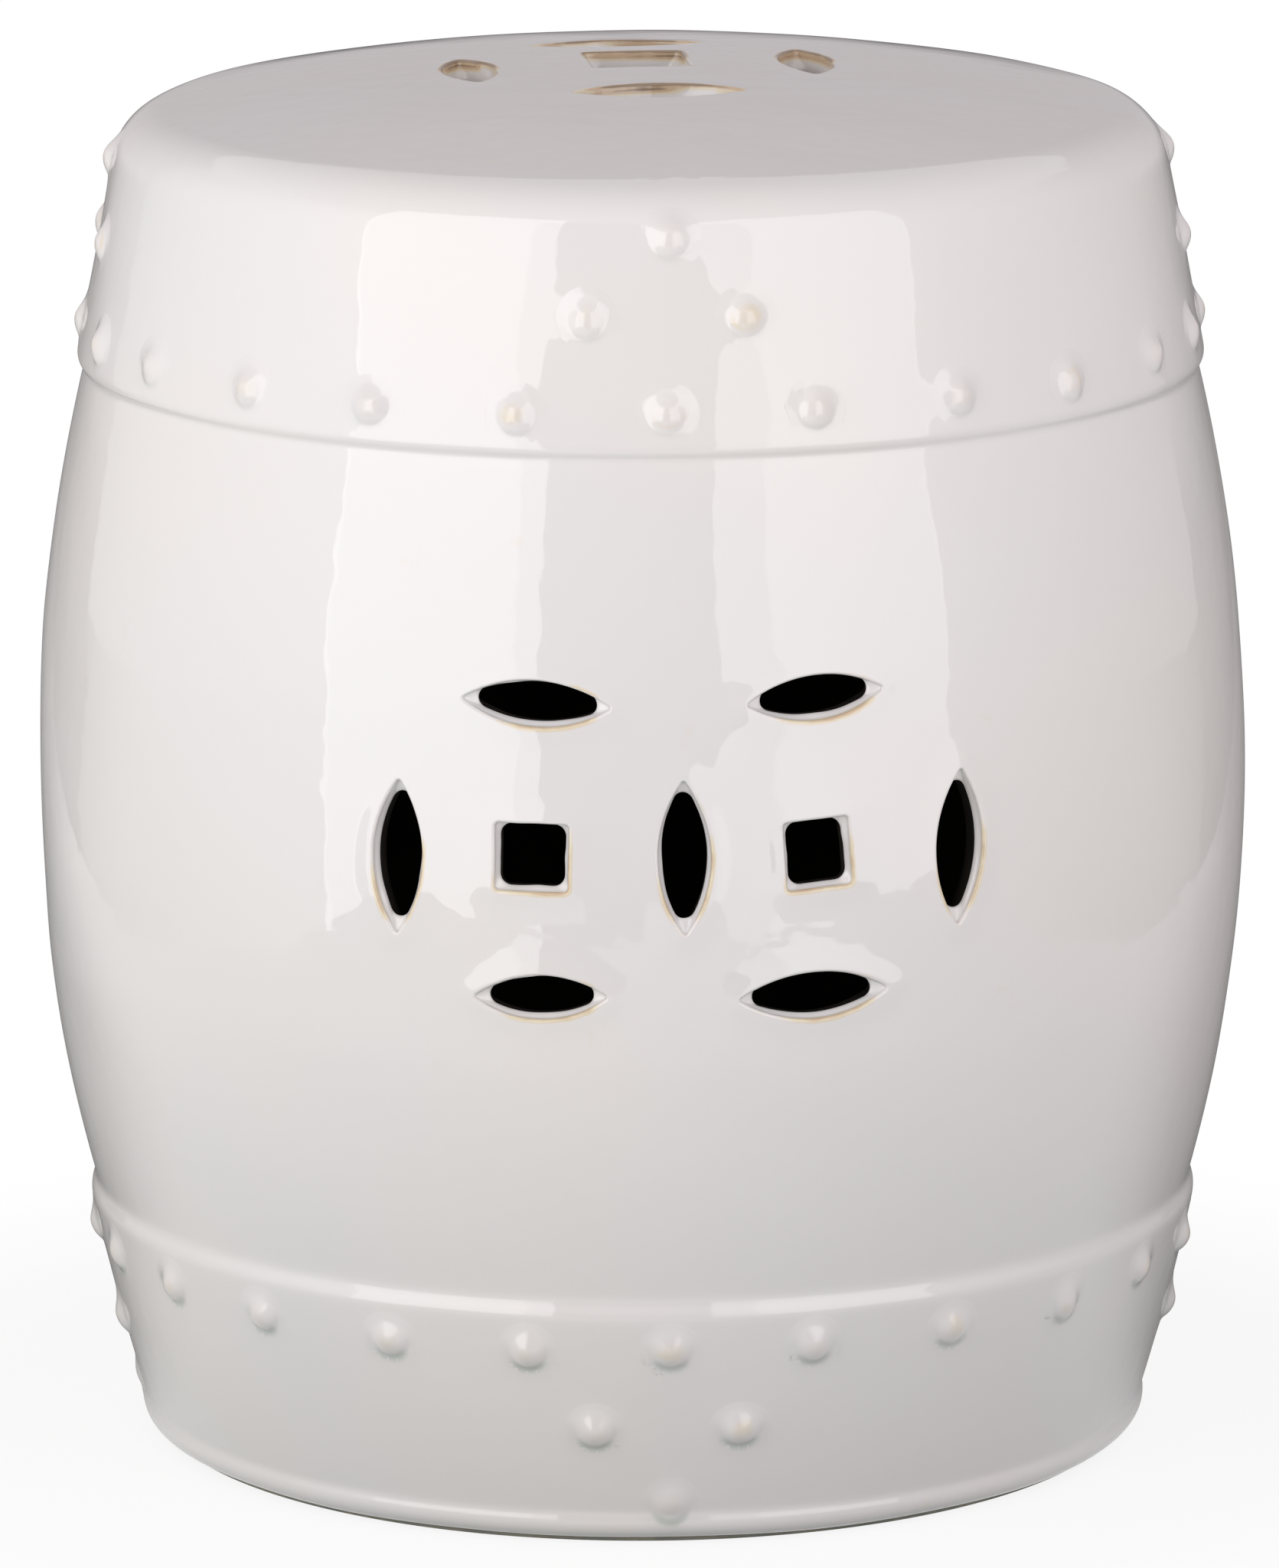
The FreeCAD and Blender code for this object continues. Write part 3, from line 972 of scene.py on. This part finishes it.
def sheet_with_openings(build, rows, heights, rings, slot, clear):
    """Quads of a grid round the stool, with triangles where the openings are."""
    low = max(k for k, h in enumerate(heights) if h <= PATCH_LOW)
    high = min(k for k, h in enumerate(heights) if h >= PATCH_HIGH)
    for k in range(len(rows) - 1):
        for c in range(COLUMNS):
            if low <= k < high and (c + PATCH_ANGLE) % 180 < 2 * PATCH_ANGLE:
                continue
            d = (c + 1) % COLUMNS
            corners = (rows[k][c], rows[k][d], rows[k + 1][d], rows[k + 1][c])
            build.face(corners[::-1] if slot == INSIDE else corners, slot)
    for (turn, openings), face_rings in zip(FACES, rings):
        def flat(places):
            return np.array([(c * math.pi / 180 * BELLY_RADIUS, heights[k] - COIN_HEIGHT)
                             for c, k in places])

        def vertices(places):
            return [rows[k][(c + turn) % COLUMNS] for c, k in places]

        span = range(-PATCH_ANGLE, PATCH_ANGLE + 1)
        loop = [(c, low) for c in span]
        loop += [(PATCH_ANGLE, k) for k in range(low + 1, high)]
        loop += [(c, high) for c in reversed(span)]
        loop += [(-PATCH_ANGLE, k) for k in range(high - 1, low, -1)]
        inner = [(c, k) for c in span[1:-1] for k in range(low + 1, high)]
        gaps = nearest_opening(openings, flat(inner))
        inner = [place for place, gap in zip(inner, gaps) if gap > clear]
        fill_between(build, vertices(loop), flat(loop), face_rings, vertices(inner), flat(inner), slot)


def barrel_place(turn):
    """Function for the points of the face at this turn, and for how they face."""
    def place(outline, depth):
        theta = math.radians(turn) + outline[:, 0] / BELLY_RADIUS
        s = along_at_height(outline[:, 1] + COIN_HEIGHT)
        points = skin(theta, s)
        points[:, 0] -= depth * np.sin(theta)
        points[:, 1] += depth * np.cos(theta)
        return points, skin_normals(theta, s)
    return place


def make_barrel():
    build = Build()
    places = graded(LOWER_SEAM, UPPER_SEAM, BARREL_STEP, True, True)
    rows = skin_rows(build, places)
    heights = [float(profile(s)[1]) for s in places]
    outer, inner = [], []
    for turn, openings in FACES:
        ends = [pierce(build, opening, BARREL_CUT, barrel_place(turn)) for opening in openings]
        outer.append([first for first, _ in ends])
        inner.append([last for _, last in ends])
    sheet_with_openings(build, rows, heights, outer, GLAZED, SKIRT_CLEAR)
    inner_heights = np.linspace(heights[0], heights[-1], INNER_ROWS)
    inner_rows = turned_rows(build, [(profile(along_at_height(height))[0] - WALL, height)
                                     for height in inner_heights])
    sheet_with_openings(build, inner_rows, inner_heights, inner, INSIDE, INNER_CLEAR)
    build.strip(inner_rows[0], rows[0], INSIDE)
    build.strip(rows[-1], inner_rows[-1], INSIDE)
    build.make("barrel_glazed", "barrel_wall")


# Seat

SEAT_STEP = 3.0
# Triangles fill the seat inside this radius, over a square grid of points
SEAT_PATCH = 98.0
SEAT_GRID = 3.0
GRID_EDGE = 2.5
UNDER_CLEAR = 5.0


def seat_place(flat, depth):
    theta = np.arctan2(flat[:, 0], -flat[:, 1])
    s = along_at_seat_radius(np.hypot(*flat.T))
    points = skin(theta, s)
    points[:, 2] -= depth
    return points, skin_normals(theta, s)


def make_seat():
    build = Build()
    patch_along = float(along_at_seat_radius(SEAT_PATCH))
    rows = skin_rows(build, graded(SEAT_SEAM, patch_along, SEAT_STEP))
    ends = [pierce(build, opening, SEAT_CUT, seat_place) for opening in SEAT_OPENINGS]
    steps = np.arange(-SEAT_PATCH, SEAT_PATCH + SEAT_GRID, SEAT_GRID)
    grid = np.array([(x, y) for x in steps for y in steps])
    grid = grid[np.hypot(*grid.T) < SEAT_PATCH - GRID_EDGE]
    gaps = nearest_opening(SEAT_OPENINGS, grid)
    border = np.stack(turned(ROUND, SEAT_PATCH), 1)

    above = grid[gaps > SKIRT_CLEAR]
    inner = build.add(*seat_place(above, 0))
    fill_between(build, rows[-1], border, [first for first, _ in ends], inner, above, GLAZED)
    build.strips(rows)

    below = grid[gaps > UNDER_CLEAR]
    edge = border * SEAT_RADIUS / SEAT_PATCH
    inner, under_row, edge_row = (build.add(seat_place(flat, SEAT_THICKNESS)[0])
                                  for flat in (below, border, edge))
    fill_between(build, under_row, border, [last for _, last in ends], inner, below, INSIDE)
    build.strips([under_row, edge_row, rows[0]], 0)
    build.make("seat_glazed", "seat_disc")


# Studs

STUD_CAP = 2.4
STUD_RADIUS = 6.0
STUD_FILLET = 0.7
STUD_MELT = 5.0
STUD_SQUEEZE = (0.94, 1.05)
CAP_RINGS = 26
CAP_SPOKES = 44
CAP_REACH = 10.0
CAP_FADE = 1.5
EDGE_SUNK = 0.08
BURIED = 0.9
# Thin glaze on the crown, and on a side of the few studs that are worn
CROWN_THIN = 0.3
CROWN_REACH = 1.2
WORN_SLOPE = 2.6
WORN_FROM = 1.9
CREST = STUD_RADIUS * 0.72
CREST_SPREAD = 1.5
# Painted shade in the crease below a stud
CREASE_SHADE_SPREAD = 1.7
CREASE_SHADE_SLOPE = 1.4
CREASE_SHADE_FROM = 0.3
# How far the lower side stands out crisply, how worn the studs are and how dark the painted shade in the
# crease is
StudLook = namedtuple("StudLook", "crisp worn crease")
STUD_LOOKS = {"upper": StudLook(0.8, 1.0, 0.3), "lower": StudLook(1.0, 0.15, 0.75)}


def cap_rise(across, along, proud, crisp):
    """Low round cap, melted into the glaze above and standing out from it below."""
    distance = np.hypot(across, along)
    melted = STUD_CAP * proud * bell(distance, STUD_MELT)
    cap = STUD_CAP * proud * (1 - (distance / STUD_RADIUS) ** 2)
    near = np.maximum(STUD_FILLET - np.abs(cap), 0)
    cap = np.maximum(cap, 0) + near ** 2 / (4 * STUD_FILLET)
    below = crisp * smooth(0.5 - along / STUD_RADIUS)
    ends = smooth((CAP_REACH - distance) / CAP_FADE)
    return (melted + (cap - melted) * below) * ends


def cap_grid():
    """Middle point of a cap and rings of points round it, across and along the band."""
    turns = np.arange(CAP_SPOKES) * math.tau / CAP_SPOKES
    distances = np.repeat(CAP_REACH * np.arange(1, CAP_RINGS + 1) / CAP_RINGS, CAP_SPOKES)
    spokes = np.tile(turns, CAP_RINGS)
    return (np.concatenate([[0], distances * np.cos(spokes)]),
            np.concatenate([[0], distances * np.sin(spokes)]))


def stud_glaze_and_shade(across, along, worn, worn_at, crease):
    """How thin the glaze is over the caps, less than nothing where shade is painted in the crease below.
    """
    distance = np.hypot(across, along)
    on_side = 0.5 + 0.5 * np.cos(np.arctan2(along, across) - worn_at)
    thin = worn * bell(distance - CREST, CREST_SPREAD) * on_side
    thin = np.maximum(thin, CROWN_THIN * smooth(CROWN_REACH - distance / STUD_RADIUS))
    below = smooth(-CREASE_SHADE_SLOPE * along / np.maximum(distance, 0.1) - CREASE_SHADE_FROM)
    return thin - crease * bell(distance - STUD_RADIUS, CREASE_SHADE_SPREAD) * below


def make_studs(node, studs):
    """All the caps of one row or cluster, each a closed shell set a little into the band."""
    look = STUD_LOOKS[node.split("_")[0]]
    hand = random.Random(node)
    across, along = cap_grid()
    size = len(across)
    angle, height, proud = (np.repeat(values, size) for values in zip(*studs))
    squeeze = np.repeat([hand.uniform(*STUD_SQUEEZE) for _ in studs], size)
    worn = np.repeat([look.worn * max(WORN_SLOPE * hand.random() - WORN_FROM, 0) for _ in studs], size)
    worn_at = np.repeat([hand.uniform(0, math.tau) for _ in studs], size)
    edge = np.tile(np.arange(size) > (CAP_RINGS - 1) * CAP_SPOKES, len(studs))
    across = np.tile(across, len(studs))
    along = np.tile(along, len(studs))
    middle = along_at_height(height)
    radius = profile(middle)[0]

    def surface(a, b, sunk):
        theta = np.radians(angle) + a / radius
        s = middle + b
        rise = cap_rise(a / squeeze, b * squeeze, proud, look.crisp) - sunk
        return skin(theta, s) + rise[:, None] * skin_normals(theta, s)

    side = surface(across + FEEL, along, 0) - surface(across - FEEL, along, 0)
    up = surface(across, along + FEEL, 0) - surface(across, along - FEEL, 0)
    facing = unit(np.cross(side, up))
    points = surface(across, along, np.where(edge, EDGE_SUNK, 0.0))
    buried = surface(across, along, BURIED)
    thin = stud_glaze_and_shade(across, along, worn, worn_at, look.crease)
    build = Build()
    for n in range(len(studs)):
        part = slice(n * size, (n + 1) * size)
        ids = build.add(points[part], facing[part], thin[part])
        loops = ids[1:].reshape(CAP_RINGS, CAP_SPOKES)
        under = build.add(buried[part][-CAP_SPOKES:])
        base = build.add(buried[part][:1] - facing[part][:1] * STUD_CAP)
        for k in range(CAP_SPOKES):
            m = (k + 1) % CAP_SPOKES
            build.face((ids[0], loops[0][k], loops[0][m]))
            build.face((base[0], under[m], under[k]))
        for near, far in zip(loops, loops[1:]):
            build.strip(far, near)
        build.strip(under, loops[-1])
    build.make(node + "_glazed", node, [glaze])


BEAD_STEP = 0.5
BAND_STEP = 2.0
SHOULDER_STEP = 0.8

make_foot_base()
make_ring("foot_bead_glazed", "foot_ring", graded(0.0, FOOT_SEAM, BEAD_STEP, True, True),
          [(LOWER_BAND_FOOT_RADIUS - WALL, FOOT_HEIGHT), (FOOT_INNER, CLAY_LINE_HEIGHT)])
make_ring("lower_band_glazed", "lower_band",
          graded(FOOT_SEAM, LOWER_SEAM, BAND_STEP, True, True),
          [(BARREL_BOTTOM_RADIUS - WALL, LOWER_LEDGE),
           (LOWER_BAND_FOOT_RADIUS - WALL, FOOT_HEIGHT)])
make_barrel()
make_ring("upper_band_glazed", "upper_band",
          graded(UPPER_SEAM, SHOULDER_START, BAND_STEP, True)
          + graded(SHOULDER_START, SEAT_SEAM, SHOULDER_STEP)[1:],
          [(SEAT_RADIUS - SEAT_REST, RIM_HEIGHT - SEAT_THICKNESS),
           (SHOULDER_RADIUS - WALL, SHOULDER_HEIGHT - WALL),
           (BARREL_TOP_RADIUS - WALL, UPPER_LEDGE)])
make_seat()
for node, studs in STUD_PLACES.items():
    make_studs(node, studs)


# Floor, cards, lamps and camera, in metres

CAMERA_TURN = math.radians(-3.1)
TABLE_FRONT = 0.86
TABLE_SIDE = 0.75
TABLE_BACK = 3.6
# The floor is white to the camera, with a weak shadow near the stool. In the light that it
# throws back it is grey, with painted shade: darker to the right and near the stool
FLOOR_WHITE = (0.93, 0.93, 0.93, 1)
FLOOR_SHADOW = 0.13
SHADOW_FADE = (0.2, 0.38)
FLOOR_LEFT = (0.52, 0.56, 0.535, 1)
FLOOR_RIGHT = (0.35, 0.375, 0.358, 1)
FLOOR_FIBRE = (0.42, 0.45, 0.43, 1)
FLOOR_NEAR_SHADE = (0.10, 0.108, 0.104, 1)
FLOOR_SIDES = (-0.5, 0.5)
NEAR_SHADE_FADE = (0.15, 0.45)


def around(azimuth, distance, height):
    """Place at an azimuth from the camera's own direction, positive to the right."""
    turn = CAMERA_TURN + math.radians(azimuth)
    return (distance * math.sin(turn), -distance * math.cos(turn), height)


def sheet(name, corners, rise, material, levels=()):
    """Sheet of quads between corners given column by column, with a level at each."""
    columns = len(corners) // rise
    faces = [(k * rise + j, (k + 1) * rise + j, (k + 1) * rise + j + 1, k * rise + j + 1)
             for k in range(columns - 1) for j in range(rise - 1)]
    mesh = bpy.data.meshes.new(name)
    mesh.from_pydata(corners, [], faces)
    if levels:
        mesh.attributes.new("level", "FLOAT", "POINT").data.foreach_set("value", levels)
    mesh.materials.append(material)
    piece = link(name, mesh)
    return piece


def floor_material():
    n = material_nodes("floor_paper")
    place = n.place()
    right = n.add("ShaderNodeSeparateXYZ", {"Vector": place}).outputs["X"]
    away = n.add("ShaderNodeVectorMath", {"Vector": place}, operation="LENGTH").outputs["Value"]
    fibre = n.noise(scale=400.0, detail=3.0)
    # Painted shade: lighter to the left, darker to the right
    tone = n.mix(n.ramp(right, *FLOOR_SIDES), FLOOR_LEFT, FLOOR_RIGHT)
    tone = n.mix(n.ramp(fibre, 0.3, 0.7, 0.0, 0.3), tone, FLOOR_FIBRE)
    # Painted shade near the stool
    tone = n.mix(n.ramp(away, *NEAR_SHADE_FADE, 0.5, 0.0), tone, FLOOR_NEAR_SHADE)
    grey = n.principled({"Base Color": tone, "Roughness": 0.9, "Specular IOR Level": 0.0})
    white = n.shader("ShaderNodeEmission", {"Color": (1, 1, 1, 1), "Strength": 1.0})
    paper = n.shader("ShaderNodeBsdfDiffuse", {"Color": FLOOR_WHITE})
    shadow = n.ramp(away, *SHADOW_FADE, FLOOR_SHADOW, 0.0)
    return n.surface(n.mix_shaders(n.seen(), grey, n.mix_shaders(shadow, white, paper)))


sheet("floor", [(x, y, 0) for x in (-TABLE_SIDE, TABLE_SIDE) for y in (-TABLE_FRONT, TABLE_BACK)],
      2, floor_material())

# Two upright lamps: the azimuth, the width, the power for each area, and the colour
LAMP_DISTANCE = 1.7
LAMP_MIDDLE = 0.6
LAMP_HEIGHT = 2.4
LAMPS = {
    "left_softbox": (-38.5, 1.27, 1.78 * math.pi, (1, 1, 1)),
    "right_softbox": (35.5, 1.34, 1.38 * math.pi, (1, 0.99, 1)),
}


def make_lamp(name, azimuth, width, power, colour):
    lamp = bpy.data.lights.new(name, "AREA")
    lamp.shape = "RECTANGLE"
    lamp.size = width
    lamp.size_y = LAMP_HEIGHT
    lamp.energy = power * width * LAMP_HEIGHT
    lamp.color = colour
    box = link(name, lamp)
    box.location = around(azimuth, LAMP_DISTANCE, LAMP_MIDDLE)
    towards = Vector((0, 0, LAMP_MIDDLE)) - box.location
    box.rotation_euler = towards.to_track_quat("-Z", "Y").to_euler()
    box.visible_camera = False


for name, lamp in LAMPS.items():
    make_lamp(name, *lamp)

# Cards round the set, out of the camera's sight: the distance, the brightness at each azimuth,
# its share at each height, and the colour
PINK_LIGHT = (1.0, 0.95, 0.97)
SIDE_LEVELS = [(-1.0, 0.9), (0.0, 0.9), (0.5, 1.0), (1.8, 1.0)]
CARDS = {
    "left_card": (2.4, [(-130, 0.6), (-95, 1.1), (-70, 1.5), (-59, 1.65)], SIDE_LEVELS, (1, 1, 1)),
    "right_card": (2.4, [(57, 1.25), (68, 1.05), (90, 0.85), (130, 0.5)], SIDE_LEVELS, PINK_LIGHT),
    "back_card": (4.0, [(k, 0.55) for k in range(130, 231, 10)],
                  [(-1.5, 0.3), (0.0, 0.3), (0.5, 1), (3.0, 1)], PINK_LIGHT),
    "front_card": (4.6, [(-24, 0.33), (24, 0.33)], [(-2.5, 1), (3.5, 1)], PINK_LIGHT),
}


def make_card(name, distance, stops, shares, colour):
    n = material_nodes(name + "_paper")
    paper = n.surface(n.shader("ShaderNodeEmission",
                               {"Color": (*colour, 1), "Strength": n.mark("level")}))
    corners = [around(azimuth, distance, height) for azimuth, _ in stops for height, _ in shares]
    levels = [bright * share for _, bright in stops for _, share in shares]
    sheet(name, corners, len(shares), paper, levels).visible_camera = False


for name, card in CARDS.items():
    make_card(name, *card)

# A dark sheet on the floor behind the stool paints the shade there, as far as the glaze reflects it:
# at each distance, how many degrees to either side of the back that reaches and how dark it is
SHADE_OUT = [(0.156, 114, 0.8), (0.2, 110, 0.92), (0.24, 105, 0.95), (0.35, 99, 0.95),
             (0.5, 92, 0.95), (0.7, 84, 0.92), (0.9, 73, 0.9), (1.4, 74, 0.9), (2.4, 80, 0.92),
             (3.8, 80, 0.92)]
SHADE_TURNS = range(-114, 115, 3)
SHADE_FADE = 40.0
SHADE_RIGHT = 4.0
SHADE_HEIGHT = 0.001
SHADE_GREY = (0.125, 0.12, 0.12, 1)


def make_shade():
    """Soft dark sheet on the floor that only reflections see: painted shade in the reflected floor."""
    corners, levels = [], []
    for turn in SHADE_TURNS:
        for distance, reach, dark in SHADE_OUT:
            corners.append(around(180 + turn, distance, SHADE_HEIGHT))
            reach += SHADE_RIGHT if turn < 0 else 0.0
            levels.append(dark * float(smooth((reach - abs(turn)) / SHADE_FADE)))
    n = material_nodes("painted_shade_sheet")
    shade_surface = n.surface(n.mix_shaders(n.mark("level"), n.shader("ShaderNodeBsdfTransparent"),
                                    n.shader("ShaderNodeEmission", {"Color": SHADE_GREY})))
    shade = sheet("shade", corners, len(SHADE_OUT), shade_surface, levels)
    for kind in ("camera", "diffuse", "shadow", "transmission"):
        setattr(shade, "visible_" + kind, False)


make_shade()

ROOM_LIGHT = 0.41


def make_world():
    """White to the camera and in reflections, and a dim pinkish room to the rest."""
    world = bpy.data.worlds.new("studio")
    bpy.context.scene.world = world
    n = Nodes(world)
    n.tree.nodes.clear()
    room = n.shader("ShaderNodeBackground", {"Color": (*PINK_LIGHT, 1), "Strength": ROOM_LIGHT})
    white = n.shader("ShaderNodeBackground", {"Color": (1, 1, 1, 1)})
    n.add("ShaderNodeOutputWorld", {"Surface": n.mix_shaders(n.seen(), room, white)})


make_world()

CAMERA_DISTANCE = 3.322
CAMERA_HEIGHT = 0.9338
CAMERA_PITCH = 0.2167
CAMERA_ROLL = -0.0023
SENSOR = 24.0
FOCAL_PIXELS = 14145.5
PHOTO_WIDTH = 1671
PHOTO_HEIGHT = 2048
AXIS_X = 838.4


def make_camera():
    lens = bpy.data.cameras.new("camera")
    lens.sensor_fit = "VERTICAL"
    lens.sensor_height = SENSOR
    lens.lens = SENSOR * FOCAL_PIXELS / PHOTO_HEIGHT
    lens.shift_x = (PHOTO_WIDTH / 2 - AXIS_X) / PHOTO_HEIGHT
    camera = link("camera", lens)
    camera.location = around(0, CAMERA_DISTANCE, CAMERA_HEIGHT)
    camera.rotation_mode = "QUATERNION"
    camera.rotation_quaternion = (Quaternion((0, 0, 1), CAMERA_TURN)
                                  @ Quaternion((1, 0, 0), math.pi / 2 - CAMERA_PITCH)
                                  @ Quaternion((0, 0, 1), CAMERA_ROLL))
    bpy.context.scene.camera = camera


make_camera()

bpy.context.scene.view_settings.view_transform = "Standard"
